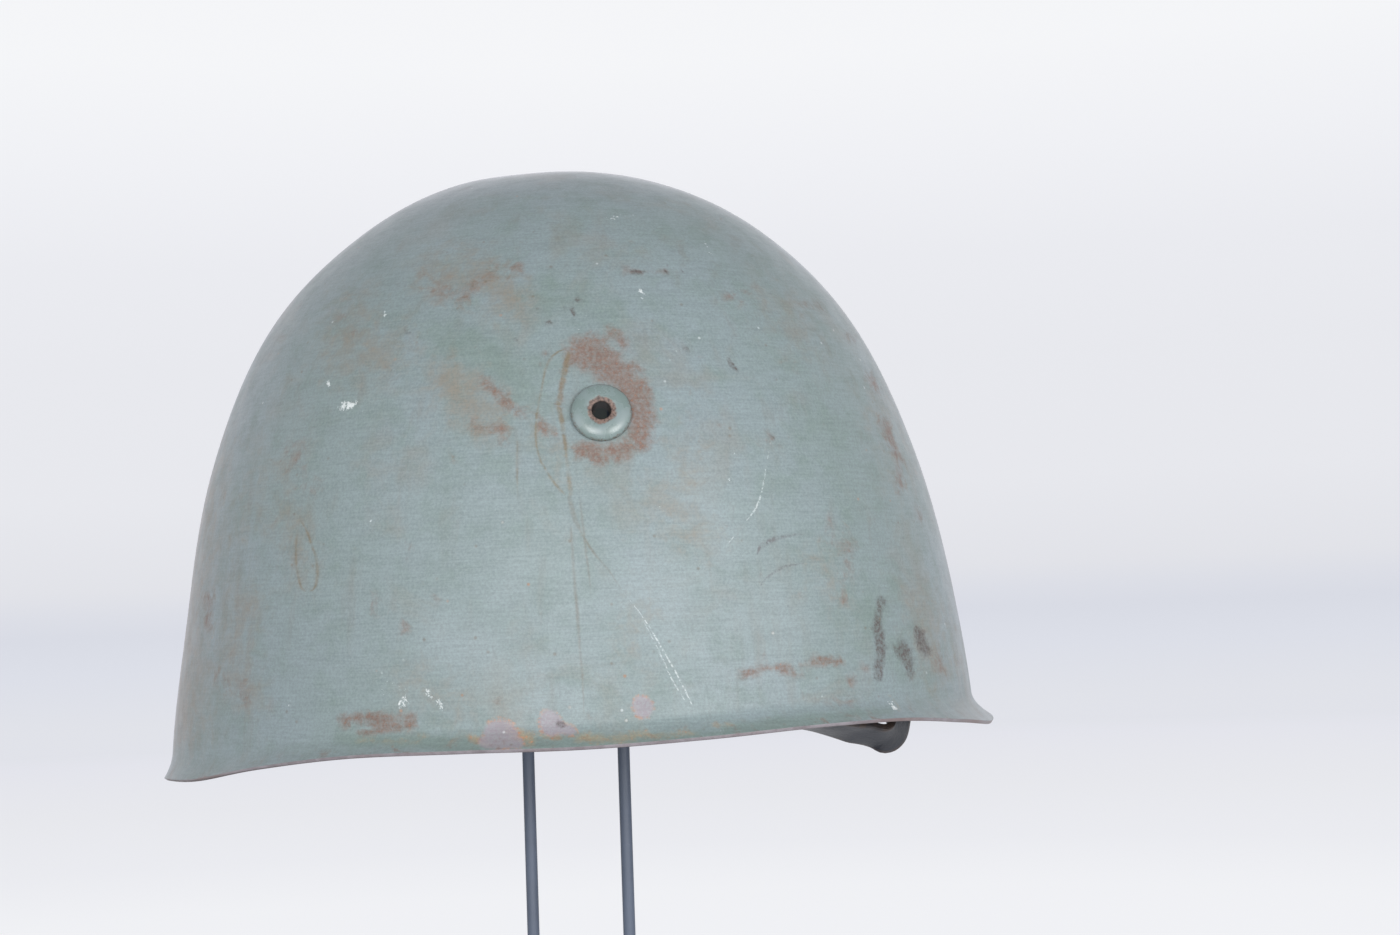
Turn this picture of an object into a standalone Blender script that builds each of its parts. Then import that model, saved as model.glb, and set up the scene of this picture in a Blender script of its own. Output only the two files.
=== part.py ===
"""A pressed steel combat helmet with a turned-out rim, three vents and a chin strap, on its wire stand.

Metres, +Z up, +X is the helmet's front and +Y its left side. The origin is the middle of the
stand's underside. The shell is worked out in its own frame: its axis at x = 0, its lowest rim
level at z = 0. place() sets that frame above the stand.
"""
import math
from collections import namedtuple

import bmesh
import bpy
from mathutils import Matrix, Vector

# Stand
RIM_HEIGHT = 0.110        # underside of the stand to the shell's lowest rim level
BASE_RADIUS = 0.080
BASE_THICKNESS = 0.006
BASE_EDGE = 0.0012        # bevel of the base plate
WIRE = 0.004              # diameter of the stand's wire
UPRIGHT_SPACING = 0.0327  # fore and aft, centre to centre
SOCKET_FLOOR = 0.0012     # steel left under the uprights
SHELL_SHIFT = 0.0007      # the shell's axis lies this far ahead of the stand's

# Shell
CROWN_HEIGHT = 0.1977
FRONT_REACH = 0.1311
REAR_REACH = 0.1339
HALF_WIDTH = 0.116
SHELL_WALL = 0.0012
FLARE_FRONT = 0.0061      # how far the rim turns out
FLARE_SIDE = 0.0045
FLARE_REAR = 0.0021
FLARE_RISE = 0.0085       # height of the turned-out band at the front and rear
FLARE_RISE_SIDE = 0.0065

# Vents
VENT_RADIUS = 0.0089
VENT_PROUD = 0.0027
VENT_EDGE = 0.0004        # thickness of the dome's thin outer edge
VENT_BORE = 0.0027        # radius
VENT_LIP = 0.0037         # radius where the dome turns in
VENT_TUBE_WALL = 0.0009
VENT_FLANGE = 0.0060      # radius of the rolled flange inside the shell
VENT_FLANGE_THICKNESS = 0.0010
VENT_AZIMUTH = 70.6       # degrees from the front
VENT_RISE = 32.3          # degrees above the rim plane

# Chin strap and its brackets
STRAP_WIDTH = 0.016
STRAP_THICKNESS = 0.0024
STRAP_TAIL = 0.012        # sewn-back end beyond the bracket's bar
BRACKET_WIRE = 0.0024
BRACKET_AZIMUTH = 84.0    # degrees from the front
BRACKET_LIFT = 0.0230     # middle of the bracket above the rim beside it

CLEARANCE = 0.0003        # between pieces
FACET_SAG = 0.0002        # how far a flat facet lies inside the true curve

COLUMNS = 60              # facets round the shell
WALL_ROWS = 16            # facets from the flare to the crown
FLARE_ROWS = 5

# How far the front, rear and side lines stand outside a plain ellipse, every 15 degrees of rise.
Fullness = namedtuple("Fullness", "front rear side")
FULLNESS = (
    Fullness(front=1.000, rear=1.000, side=1.000),
    Fullness(front=0.997, rear=0.993, side=0.995),
    Fullness(front=1.014, rear=1.028, side=1.023),
    Fullness(front=1.033, rear=1.054, side=1.038),
    Fullness(front=1.025, rear=1.040, side=1.030),
    Fullness(front=1.010, rear=1.025, side=1.013),
    Fullness(front=1.000, rear=1.000, side=1.000),
)

# Height of the rim as a share of the crown height, every 15 degrees from the front to the rear.
RIM_LINE = (0.066, 0.075, 0.085, 0.083, 0.074, 0.067, 0.066, 0.062, 0.046, 0.025, 0.019, 0.015, 0.017)

# The strap's middle line as shares of the front reach, half width and crown height. Lean turns
# its width from upright (0) to level (1), and skew swings the level width round, in degrees.
StrapPoint = namedtuple("StrapPoint", "forward aside height lean skew")
STRAP_LINE = (
    StrapPoint(forward=0.36, aside=-0.74, height=0.150, lean=0.0, skew=0),
    StrapPoint(forward=0.48, aside=-0.50, height=0.138, lean=0.3, skew=0),
    StrapPoint(forward=0.56, aside=-0.26, height=0.100, lean=0.7, skew=0),
    StrapPoint(forward=0.64, aside=-0.07, height=0.070, lean=0.82, skew=0),
    StrapPoint(forward=0.72, aside=0.02, height=0.052, lean=0.74, skew=4),
    StrapPoint(forward=0.777, aside=0.06, height=0.044, lean=0.74, skew=12),
    StrapPoint(forward=0.797, aside=0.09, height=0.062, lean=0.9, skew=16),
    StrapPoint(forward=0.797, aside=0.14, height=0.102, lean=1.0, skew=14),
    StrapPoint(forward=0.785, aside=0.25, height=0.142, lean=0.75, skew=6),
    StrapPoint(forward=0.71, aside=0.44, height=0.158, lean=0.35, skew=0),
    StrapPoint(forward=0.54, aside=0.63, height=0.160, lean=0.1, skew=0),
    StrapPoint(forward=0.35, aside=0.75, height=0.155, lean=0.0, skew=0),
)
STRAP_STEPS = 4           # stations between two of the strap's points

SUPPORT_RISE = 66.0       # where the stand's hoop bears on the crown, degrees of rise
BEND_SHARE = 0.14         # share of the crown height over which an upright bends to the hoop


def curve_through(values, position):
    """Smooth curve through evenly spaced values, level at both ends."""
    last = len(values) - 1
    step = min(max(int(position), 0), last - 1)
    f = position - step
    before, start, end, after = (values[last - abs(last - abs(step + k))] for k in (-1, 0, 1, 2))
    slope_in, slope_out = (end - before) / 2, (after - start) / 2
    return ((2 * f**3 - 3 * f**2 + 1) * start + (f**3 - 2 * f**2 + f) * slope_in
            + (3 * f**2 - 2 * f**3) * end + (f**3 - f**2) * slope_out)


def crown_point(azimuth, rise):
    """Outer face of the shell, before its rim turns out. Angles in radians, azimuth from the front."""
    place_in_table = math.degrees(rise) / 90 * (len(FULLNESS) - 1)
    front, rear, side = (curve_through([getattr(row, name) for row in FULLNESS], place_in_table)
                         for name in Fullness._fields)
    ahead = math.cos(azimuth) > 0
    reach, fullness = (FRONT_REACH, front) if ahead else (REAR_REACH, rear)
    along = math.cos(azimuth) ** 2
    level, lift = math.cos(rise), CROWN_HEIGHT * math.sin(rise)
    return Vector((reach * level * fullness * math.cos(azimuth),
                   HALF_WIDTH * level * side * math.sin(azimuth),
                   lift * (along * fullness + (1 - along) * side)))


def crown_normal(azimuth, rise):
    step = 0.001
    round_it = crown_point(azimuth + step, rise) - crown_point(azimuth - step, rise)
    up_it = crown_point(azimuth, rise + step) - crown_point(azimuth, rise - step)
    return round_it.cross(up_it).normalized()


def rise_at(azimuth, height):
    """Rise at which the outer face reaches a height."""
    low, high = 0.0, math.pi / 2
    for _ in range(30):
        middle = (low + high) / 2
        low, high = (middle, high) if crown_point(azimuth, middle).z < height else (low, middle)
    return low


def rim_height(azimuth):
    from_front = abs(math.remainder(azimuth, math.tau))
    return CROWN_HEIGHT * curve_through(RIM_LINE, from_front / math.pi * (len(RIM_LINE) - 1))


def flare(azimuth):
    """How far out and how high the turned-out rim reaches."""
    along = math.cos(azimuth) ** 2
    end = FLARE_FRONT if math.cos(azimuth) > 0 else FLARE_REAR
    return (end * along + FLARE_SIDE * (1 - along),
            FLARE_RISE * along + FLARE_RISE_SIDE * (1 - along))


def shell_column(azimuth):
    """Outer points from the rim up to just below the crown."""
    out, band = flare(azimuth)
    rim = rim_height(azimuth)
    column = []
    for row in range(FLARE_ROWS):
        above = band * (row / FLARE_ROWS) ** 1.4
        rise = rise_at(azimuth, rim + above)
        normal = crown_normal(azimuth, rise)
        level = Vector((normal.x, normal.y, 0)).normalized()
        column.append(crown_point(azimuth, rise) + level * out * (1 - above / band) ** 2)
    top_of_band = rise_at(azimuth, rim + band)
    for row in range(WALL_ROWS):
        column.append(crown_point(azimuth, top_of_band + (math.pi / 2 - top_of_band) * row / WALL_ROWS))
    return column


def place(point):
    """From the shell's own frame to the part's."""
    return Vector((point.x + SHELL_SHIFT, point.y, point.z + RIM_HEIGHT))


def new_object(name, mesh_or_curve, material=None):
    made = bpy.data.objects.new(name, mesh_or_curve)
    bpy.context.scene.collection.objects.link(made)
    if material:
        made.data.materials.append(material)
    return made


def object_from_bmesh(name, bm, material=None):
    bmesh.ops.recalc_face_normals(bm, faces=bm.faces)
    mesh = bpy.data.meshes.new(name)
    bm.to_mesh(mesh)
    bm.free()
    mesh.shade_smooth()
    mesh.set_sharp_from_angle(angle=math.radians(35))
    return new_object(name, mesh, material)


def new_material(name, colour, roughness, metallic):
    material = bpy.data.materials.new(name)
    material.use_nodes = True
    shader = material.node_tree.nodes["Principled BSDF"]
    shader.inputs["Base Color"].default_value = (*colour, 1)
    shader.inputs["Roughness"].default_value = roughness
    shader.inputs["Metallic"].default_value = metallic
    return material


def turned_piece(name, profile, sides, matrix, material=None):
    """Closed ring turned from a closed outline of (radius, height) points."""
    bm = bmesh.new()
    loops = []
    for step in range(sides):
        turn = Matrix.Rotation(math.tau * step / sides, 4, "Z")
        loops.append([bm.verts.new(turn @ Vector((radius, 0, height))) for radius, height in profile])
    for step, loop in enumerate(loops):
        following = loops[(step + 1) % sides]
        for k in range(len(profile)):
            after = (k + 1) % len(profile)
            bm.faces.new((loop[k], following[k], following[after], loop[after]))
    made = object_from_bmesh(name, bm, material)
    made.matrix_world = matrix
    return made


def cylinder_cutter(name, radius, depth, matrix):
    """Hidden cylinder along the local Z axis, centred on its place."""
    bm = bmesh.new()
    bmesh.ops.create_cone(bm, cap_ends=True, segments=24, radius1=radius, radius2=radius, depth=depth)
    cutter = object_from_bmesh(name, bm)
    cutter.matrix_world = matrix
    return hidden(cutter)


def hidden(helper):
    helper.hide_render = True
    helper.display_type = "WIRE"
    return helper


def add_boolean(target, other, operation):
    modifier = target.modifiers.new(other.name, "BOOLEAN")
    modifier.operation = operation
    modifier.object = other


def tube_curve(name, points, radius, closed, material=None):
    curve = bpy.data.curves.new(name, "CURVE")
    curve.dimensions = "3D"
    curve.bevel_depth = radius
    curve.bevel_resolution = 2
    curve.use_fill_caps = not closed
    spline = curve.splines.new("POLY")
    spline.points.add(len(points) - 1)
    for knot, point in zip(spline.points, points):
        knot.co = (*point, 1)
    spline.use_cyclic_u = closed
    return new_object(name, curve, material)


def as_mesh(curve_object, material=None):
    """Replace a curve object by a mesh object of the same name."""
    name = curve_object.name
    bpy.context.view_layer.update()
    mesh = bpy.data.meshes.new_from_object(curve_object)
    bpy.data.objects.remove(curve_object)
    mesh.materials.clear()
    mesh.shade_smooth()
    return new_object(name, mesh, material)


def surface_matrix(azimuth, rise):
    """Placement with +Z out of the shell and +X level, on its outer face."""
    normal = crown_normal(azimuth, rise)
    level = Vector((0, 0, 1)).cross(normal).normalized()
    upward = normal.cross(level)
    turn = Matrix((level, upward, normal)).transposed().to_4x4()
    return Matrix.Translation(place(crown_point(azimuth, rise))) @ turn


def vent_places():
    side, rise = math.radians(VENT_AZIMUTH), math.radians(VENT_RISE)
    return {"vent_right": (-side, rise), "vent_left": (side, rise), "vent_rear": (math.pi, rise)}


def make_shell(paint):
    bm = bmesh.new()
    columns = [[bm.verts.new(place(point)) for point in shell_column(math.tau * step / COLUMNS)]
               for step in range(COLUMNS)]
    crown = bm.verts.new(place(crown_point(0, math.pi / 2)))
    for step, column in enumerate(columns):
        following = columns[(step + 1) % COLUMNS]
        for low in range(len(column) - 1):
            bm.faces.new((column[low], following[low], following[low + 1], column[low + 1]))
        bm.faces.new((column[-1], following[-1], crown))
    shell = object_from_bmesh("shell", bm, paint)
    solidify = shell.modifiers.new("wall", "SOLIDIFY")
    solidify.thickness = SHELL_WALL
    solidify.offset = -1
    solidify.use_even_offset = True
    hole = VENT_BORE + VENT_TUBE_WALL + CLEARANCE
    for name, (azimuth, rise) in vent_places().items():
        cutter = cylinder_cutter("hole_for_" + name, hole, 12 * SHELL_WALL, surface_matrix(azimuth, rise))
        add_boolean(shell, cutter, "DIFFERENCE")
    return shell


def vent_outline():
    """Closed (radius, height) outline of a vent: dome outside, tube through the wall, flange inside."""
    curvature = (FRONT_REACH + REAR_REACH) / 2
    under_edge = CLEARANCE - VENT_RADIUS ** 2 / (2 * curvature)
    dome_base = under_edge + VENT_EDGE
    dome_width = VENT_RADIUS - VENT_LIP
    dome = []
    for step in range(6):
        angle = math.pi / 2 * step / 5
        dome.append((VENT_LIP + dome_width * math.cos(angle), dome_base + (VENT_PROUD - dome_base) * math.sin(angle)))
    flange_top = -(SHELL_WALL + 2 * FACET_SAG + CLEARANCE)
    flange_bottom = flange_top - VENT_FLANGE_THICKNESS
    tube = VENT_BORE + VENT_TUBE_WALL
    turn_in = (VENT_LIP - VENT_BORE) / 2
    return ([(tube, CLEARANCE), (VENT_RADIUS, under_edge)] + dome
            + [(VENT_BORE + turn_in * 0.6, VENT_PROUD - turn_in * 0.4), (VENT_BORE, VENT_PROUD - turn_in * 2)]
            + [(VENT_BORE, flange_bottom), (VENT_FLANGE - VENT_FLANGE_THICKNESS / 3, flange_bottom)]
            + [(VENT_FLANGE, flange_bottom + VENT_FLANGE_THICKNESS / 3), (VENT_FLANGE, flange_top - FACET_SAG)]
            + [(tube, flange_top)])


def make_vents(paint):
    for name, (azimuth, rise) in vent_places().items():
        turned_piece(name, vent_outline(), 24, surface_matrix(azimuth, rise), paint)


def bracket_frame(side):
    """Foot on the inner face, and the forward, inward and up-the-wall directions. side is -1 for the right."""
    azimuth = side * math.radians(BRACKET_AZIMUTH)
    rise = rise_at(azimuth, rim_height(azimuth) + BRACKET_LIFT)
    normal = crown_normal(azimuth, rise)
    forward = Vector((0, 0, 1)).cross(normal).normalized() * -side
    upward = forward.cross(normal).normalized() * side
    foot = crown_point(azimuth, rise) - normal * SHELL_WALL
    return foot, forward, -normal, upward


def bar_distance():
    """Middle of a bracket's inner bar from the inner face: two wires with the strap's tail between."""
    return 2 * CLEARANCE + FACET_SAG + BRACKET_WIRE * 1.5 + STRAP_THICKNESS + 2 * CLEARANCE


def rounded_frame(half_depth, half_height, corner):
    """Corners of an upright frame as (inward, up) pairs, rounded."""
    points = []
    for quarter, (a, b) in enumerate(((1, 1), (-1, 1), (-1, -1), (1, -1))):
        for step in range(4):
            angle = math.pi / 2 * (quarter + step / 3)
            points.append((a * (half_depth - corner) + corner * math.cos(angle),
                           b * (half_height - corner) + corner * math.sin(angle)))
    return points


def make_brackets(steel):
    outer_bar = CLEARANCE + FACET_SAG + CLEARANCE + BRACKET_WIRE / 2
    half_depth = (bar_distance() - outer_bar) / 2
    half_height = STRAP_WIDTH / 2 + 2 * CLEARANCE + BRACKET_WIRE
    for name, side in (("bracket_right", -1), ("bracket_left", 1)):
        foot, _, inward, upward = bracket_frame(side)
        middle = foot + inward * (outer_bar + half_depth)
        frame = [place(middle + inward * a + upward * b)
                 for a, b in rounded_frame(half_depth, half_height, BRACKET_WIRE)]
        tube_curve(name, frame, BRACKET_WIRE / 2, True, steel)


def strap_end(side):
    """Middle line from the sewn-back tail, round the bracket's bar, to where both layers part."""
    foot, forward, inward, upward = bracket_frame(side)
    bar = foot + inward * bar_distance()
    turn = BRACKET_WIRE / 2 + CLEARANCE + STRAP_THICKNESS / 2
    apart = STRAP_THICKNESS + CLEARANCE
    line = [bar + forward * STRAP_TAIL + inward * (turn - apart),
            bar + forward * STRAP_TAIL * 0.55 + inward * (turn - apart)]
    for step in range(9):
        angle = math.pi * step / 8
        line.append(bar - forward * turn * math.sin(angle) - inward * turn * math.cos(angle))
    line.append(bar + forward * STRAP_TAIL * 0.55 + inward * turn)
    line.append(bar + forward * (STRAP_TAIL + STRAP_THICKNESS) + inward * turn)
    return line, upward


def spline_through(points, steps):
    """Points of a smooth curve through a list of vectors, without its first and last point."""
    curve = []
    for before, start, end, after in zip(points, points[1:], points[2:], points[3:]):
        for k in range(steps):
            f = k / steps
            slope_in, slope_out = (end - before) / 2, (after - start) / 2
            curve.append((2 * f**3 - 3 * f**2 + 1) * start + (f**3 - 2 * f**2 + f) * slope_in
                         + (3 * f**2 - 2 * f**3) * end + (f**3 - f**2) * slope_out)
    return curve


def strap_stations():
    """Middle points and width directions along the whole strap, from its right end to its left end."""
    upright = Vector((0, 0, 1))
    right, width_right = strap_end(-1)
    left, width_left = strap_end(1)
    left.reverse()
    points, widths = [], []
    for row in STRAP_LINE:
        points.append(Vector((row.forward * FRONT_REACH, row.aside * HALF_WIDTH, row.height * CROWN_HEIGHT)))
        skew, lean = math.radians(row.skew), row.lean * math.pi / 2
        level = Vector((-math.sin(skew), -math.cos(skew), 0))
        widths.append(upright * math.cos(lean) + level * math.sin(lean))
    hang = spline_through(right[-2:] + points + left[:2], STRAP_STEPS)
    sweep = spline_through([width_right] * 2 + widths + [width_left] * 2, STRAP_STEPS)
    line = right[:-1] + hang + left
    return line, [width_right] * (len(right) - 1) + sweep + [width_left] * len(left)


def make_strap(leather):
    line, widths = strap_stations()
    bm = bmesh.new()
    rings = []
    for k, (point, width) in enumerate(zip(line, widths)):
        along = (line[min(k + 1, len(line) - 1)] - line[max(k - 1, 0)]).normalized()
        across = (width - along * width.dot(along)).normalized() * STRAP_WIDTH / 2
        thick = along.cross(across).normalized() * STRAP_THICKNESS / 2
        corners = (across + thick, across - thick, -across - thick, -across + thick)
        rings.append([bm.verts.new(place(point + corner)) for corner in corners])
    for ring, following in zip(rings, rings[1:]):
        for k in range(4):
            bm.faces.new((ring[k], ring[(k + 1) % 4], following[(k + 1) % 4], following[k]))
    bm.faces.new(rings[0])
    bm.faces.new(rings[-1])
    object_from_bmesh("chin_strap", bm, leather)


def hoop_point(azimuth):
    """Middle of the stand's hoop, which follows the inside of the crown."""
    rise = math.radians(SUPPORT_RISE)
    inset = SHELL_WALL + FACET_SAG + CLEARANCE + WIRE / 2
    return place(crown_point(azimuth, rise) - crown_normal(azimuth, rise) * inset)


def upright_line(x, top):
    """An upright from the base plate, bending out to its end on the hoop."""
    bend = CROWN_HEIGHT * BEND_SHARE
    line = [Vector((x, 0, SOCKET_FLOOR + CLEARANCE)), Vector((x, 0, RIM_HEIGHT)), Vector((x, 0, top.z - bend))]
    for step in range(1, 9):
        angle = math.pi / 2 * step / 8
        line.append(Vector((x + (top.x - x) * (1 - math.cos(angle)), 0, top.z - bend + bend * math.sin(angle))))
    return line


def make_stand(paint):
    hoop = as_mesh(tube_curve("stand_wire", [hoop_point(math.tau * k / 36) for k in range(36)], WIRE / 2, True), paint)
    base = bmesh.new()
    bmesh.ops.create_cone(base, cap_ends=True, segments=64, radius1=BASE_RADIUS, radius2=BASE_RADIUS,
                          depth=BASE_THICKNESS, matrix=Matrix.Translation((0, 0, BASE_THICKNESS / 2)))
    plate = object_from_bmesh("stand_base", base, paint)
    bevel = plate.modifiers.new("edge", "BEVEL")
    bevel.width = BASE_EDGE
    bevel.segments = 2
    bevel.limit_method = "ANGLE"
    for name, side, azimuth in (("front", 1, 0.0), ("rear", -1, math.pi)):
        x = side * UPRIGHT_SPACING / 2
        upright = as_mesh(tube_curve("upright_" + name, upright_line(x, hoop_point(azimuth)), WIRE / 2, False))
        add_boolean(hoop, hidden(upright), "UNION")
        socket = Matrix.Translation((x, 0, SOCKET_FLOOR + BASE_THICKNESS / 2))
        cutter = cylinder_cutter("socket_" + name, WIRE / 2 + CLEARANCE, BASE_THICKNESS, socket)
        add_boolean(plate, cutter, "DIFFERENCE")


def main():
    for old in list(bpy.data.objects):
        bpy.data.objects.remove(old)
    paint = new_material("shell_paint", (0.27, 0.33, 0.34), 0.5, 0.1)
    leather = new_material("strap_leather", (0.05, 0.035, 0.03), 0.6, 0.0)
    steel = new_material("bracket_steel", (0.2, 0.19, 0.18), 0.45, 0.9)
    stand_paint = new_material("stand_paint", (0.09, 0.11, 0.15), 0.45, 0.2)
    make_shell(paint)
    make_vents(paint)
    make_brackets(steel)
    make_strap(leather)
    make_stand(stand_paint)


main()
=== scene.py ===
import math

import bpy
import numpy as np
from mathutils import Matrix, Vector


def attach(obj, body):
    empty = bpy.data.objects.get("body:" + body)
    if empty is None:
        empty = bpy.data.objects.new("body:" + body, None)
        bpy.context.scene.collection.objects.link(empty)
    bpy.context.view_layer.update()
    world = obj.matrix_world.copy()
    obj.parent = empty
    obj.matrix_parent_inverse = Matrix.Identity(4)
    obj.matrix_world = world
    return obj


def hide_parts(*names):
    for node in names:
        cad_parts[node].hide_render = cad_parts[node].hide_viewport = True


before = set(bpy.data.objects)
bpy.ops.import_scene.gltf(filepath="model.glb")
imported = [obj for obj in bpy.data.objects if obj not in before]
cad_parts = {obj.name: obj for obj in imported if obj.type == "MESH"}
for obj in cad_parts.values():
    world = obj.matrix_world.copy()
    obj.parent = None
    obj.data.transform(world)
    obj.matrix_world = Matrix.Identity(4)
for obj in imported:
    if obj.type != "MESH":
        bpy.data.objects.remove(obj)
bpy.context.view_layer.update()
print("frame loaded")


# small helpers for picking, applying and smoothing

def pick(*pieces):
    bpy.ops.object.select_all(action="DESELECT")
    for piece in pieces:
        piece.select_set(True)
    bpy.context.view_layer.objects.active = pieces[-1]


def applyModifier(piece, kind, **settings):
    pick(piece)
    modifier = piece.modifiers.new(kind.lower(), kind)
    for name, value in settings.items():
        setattr(modifier, name, value)
    bpy.ops.object.modifier_apply(modifier=modifier.name)


def addShape(operator, **settings):
    bpy.ops.object.select_all(action="DESELECT")
    operator(**settings)
    return bpy.context.object


def join(pieces):
    pick(*pieces)
    bpy.ops.object.join()
    return bpy.context.object


def cutAway(piece, cutter):
    applyModifier(piece, "BOOLEAN", operation="DIFFERENCE", object=cutter, solver="EXACT")
    bpy.data.objects.remove(cutter)


def bevel(piece, width, segments):
    applyModifier(piece, "BEVEL", width=width, segments=segments, limit_method="ANGLE", angle_limit=math.radians(50))


def startEdit():
    bpy.ops.object.mode_set(mode="EDIT")
    bpy.ops.mesh.select_all(action="SELECT")


def endEdit():
    bpy.ops.object.mode_set(mode="OBJECT")


def extrudeRings(outline):
    radius, height = outline[0]
    for nextRadius, nextHeight in outline[1:]:
        bpy.ops.mesh.extrude_edges_move(TRANSFORM_OT_translate={"value": (0, 0, nextHeight - height)})
        bpy.ops.transform.resize(value=(nextRadius / radius, nextRadius / radius, 1))
        radius, height = nextRadius, nextHeight
    bpy.ops.mesh.select_all(action="SELECT")


def applyPlace(piece):
    pick(piece)
    bpy.ops.object.transform_apply(location=True, rotation=True, scale=True)


def smooth(piece, degrees=35):
    pick(piece)
    bpy.ops.object.shade_smooth_by_angle(angle=math.radians(degrees))


def recalculate(piece):
    pick(piece)
    startEdit()
    bpy.ops.mesh.remove_doubles(threshold=1e-6)
    bpy.ops.mesh.normals_make_consistent(inside=False)
    endEdit()


def readPoints(piece, normals=False):
    points = np.zeros(len(piece.data.vertices) * 3)
    if normals:
        piece.data.vertex_normals.foreach_get("vector", points)
    else:
        piece.data.vertices.foreach_get("co", points)
    return points.reshape(-1, 3)


def unit(vectors):
    return vectors / np.maximum(np.linalg.norm(vectors, axis=-1, keepdims=True), 1e-12)


def writePoints(piece, points):
    piece.data.vertices.foreach_set("co", points.reshape(-1))
    piece.data.update()


def writeAttribute(piece, name, values):
    values = np.asarray(values, np.float32)
    if values.ndim == 1:
        piece.data.attributes.new(name, "FLOAT", "POINT").data.foreach_set("value", values)
    else:
        piece.data.attributes.new(name, "FLOAT_VECTOR", "POINT").data.foreach_set("vector", values.reshape(-1))


def finishPiece(piece, name, materials, *nodes):
    piece.name = piece.data.name = name
    slots = np.zeros(len(piece.data.polygons), np.int32)
    piece.data.polygons.foreach_get("material_index", slots)
    piece.data.materials.clear()
    for material in materials:
        piece.data.materials.append(material)
    piece.data.polygons.foreach_set("material_index", np.minimum(slots, len(materials) - 1))
    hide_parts(*nodes)
    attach(piece, "root")
    print("made", name, len(piece.data.polygons), "faces")


# camera

camera = {
    "distance": 0.776, "turn": 16, "aim": -3.221, "height": 0.1518, "lookHeight": 0.209, "roll": 2,
    "axis": 0.0007, "sensor": 36, "frame": (1400, 935), "focal": 2333, "clip": (0.01, 60),
}


def cameraAxes():
    turn, yaw = math.radians(camera["turn"]), math.radians(camera["turn"] + camera["aim"])
    pitch = math.atan((camera["lookHeight"] - camera["height"]) / camera["distance"])
    roll = math.radians(camera["roll"])
    place = Vector((math.sin(turn) * camera["distance"] + camera["axis"],
                    -math.cos(turn) * camera["distance"], camera["height"]))
    level, aside = Vector((-math.sin(yaw), math.cos(yaw), 0)), Vector((math.cos(yaw), math.sin(yaw), 0))
    ahead = level * math.cos(pitch) + Vector((0, 0, math.sin(pitch)))
    above = Vector((0, 0, math.cos(pitch))) - level * math.sin(pitch)
    right = aside * math.cos(roll) - above * math.sin(roll)
    return place, right, aside * math.sin(roll) + above * math.cos(roll), ahead


def makeCamera():
    place, right, up, ahead = cameraAxes()
    bpy.ops.object.camera_add()
    made = bpy.context.object
    made.name = "photoCamera"
    made.matrix_world = Matrix.Translation(place) @ Matrix((right, up, -ahead)).transposed().to_4x4()
    made.data.sensor_width, made.data.sensor_fit = camera["sensor"], "HORIZONTAL"
    made.data.lens = camera["sensor"] * camera["focal"] / camera["frame"][0]
    made.data.clip_start, made.data.clip_end = camera["clip"]
    bpy.context.scene.camera = made


makeCamera()
print("camera set")


# nodes; each one is added to the tree that a given socket is in

def fill(node, inputs):
    for name, value in inputs.items():
        socket = node.inputs[name]
        if isinstance(value, bpy.types.NodeSocket):
            node.id_data.links.new(value, socket)
        elif isinstance(value, tuple) and len(value) == 3 and socket.type == "RGBA":
            socket.default_value = (*value, 1)
        else:
            socket.default_value = value


def addNode(beside, kind, inputs=None, **options):
    made = beside.id_data.nodes.new("ShaderNode" + kind)
    for name, value in options.items():
        setattr(made, name, value)
    fill(made, inputs or {})
    return made


def calc(operation, *values):
    beside = next(value for value in values if isinstance(value, bpy.types.NodeSocket))
    return addNode(beside, "Math", dict(enumerate(values)), operation=operation).outputs[0]


def times(*values):
    return calc("MULTIPLY", *values)


def between(value, low=0.35, high=0.65, toLow=0.0, toHigh=1.0, kind="SMOOTHSTEP"):
    inputs = {"Value": value, "From Min": low, "From Max": high, "To Min": toLow, "To Max": toHigh}
    return addNode(value, "MapRange", inputs, interpolation_type=kind, clamp=True).outputs[0]


def tint(share, under, over):
    inputs = {0: share, 6: under, 7: over}
    return addNode(share, "Mix", inputs, data_type="RGBA", clamp_factor=True).outputs[2]


def wash(colour, mask, share, over):
    return tint(times(mask, share), colour, over)


def jitter(source, amount, given):
    return calc("MULTIPLY_ADD", calc("SUBTRACT", source, 0.5), amount, given)


def grain(where, scale, detail=4.0, roughness=0.5, warp=0.0):
    inputs = {"Vector": where, "Scale": scale, "Detail": detail, "Roughness": roughness, "Distortion": warp}
    return addNode(where, "TexNoise", inputs).outputs[0]


def stretched(where, scale):
    return addNode(where, "Mapping", {"Vector": where, "Scale": scale}).outputs[0]


def attributeOf(where, name, output="Fac"):
    return addNode(where, "Attribute", attribute_name=name, attribute_type="GEOMETRY").outputs[output]


def bump(height, distance, strength):
    return addNode(height, "Bump", {"Height": height, "Distance": distance, "Strength": strength}).outputs[0]


def newMaterial(name):
    material = bpy.data.materials.new(name)
    material.use_nodes = True
    nodes = material.node_tree.nodes
    return material, nodes["Principled BSDF"], nodes.new("ShaderNodeTexCoord").outputs["Object"]


# shell

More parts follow.
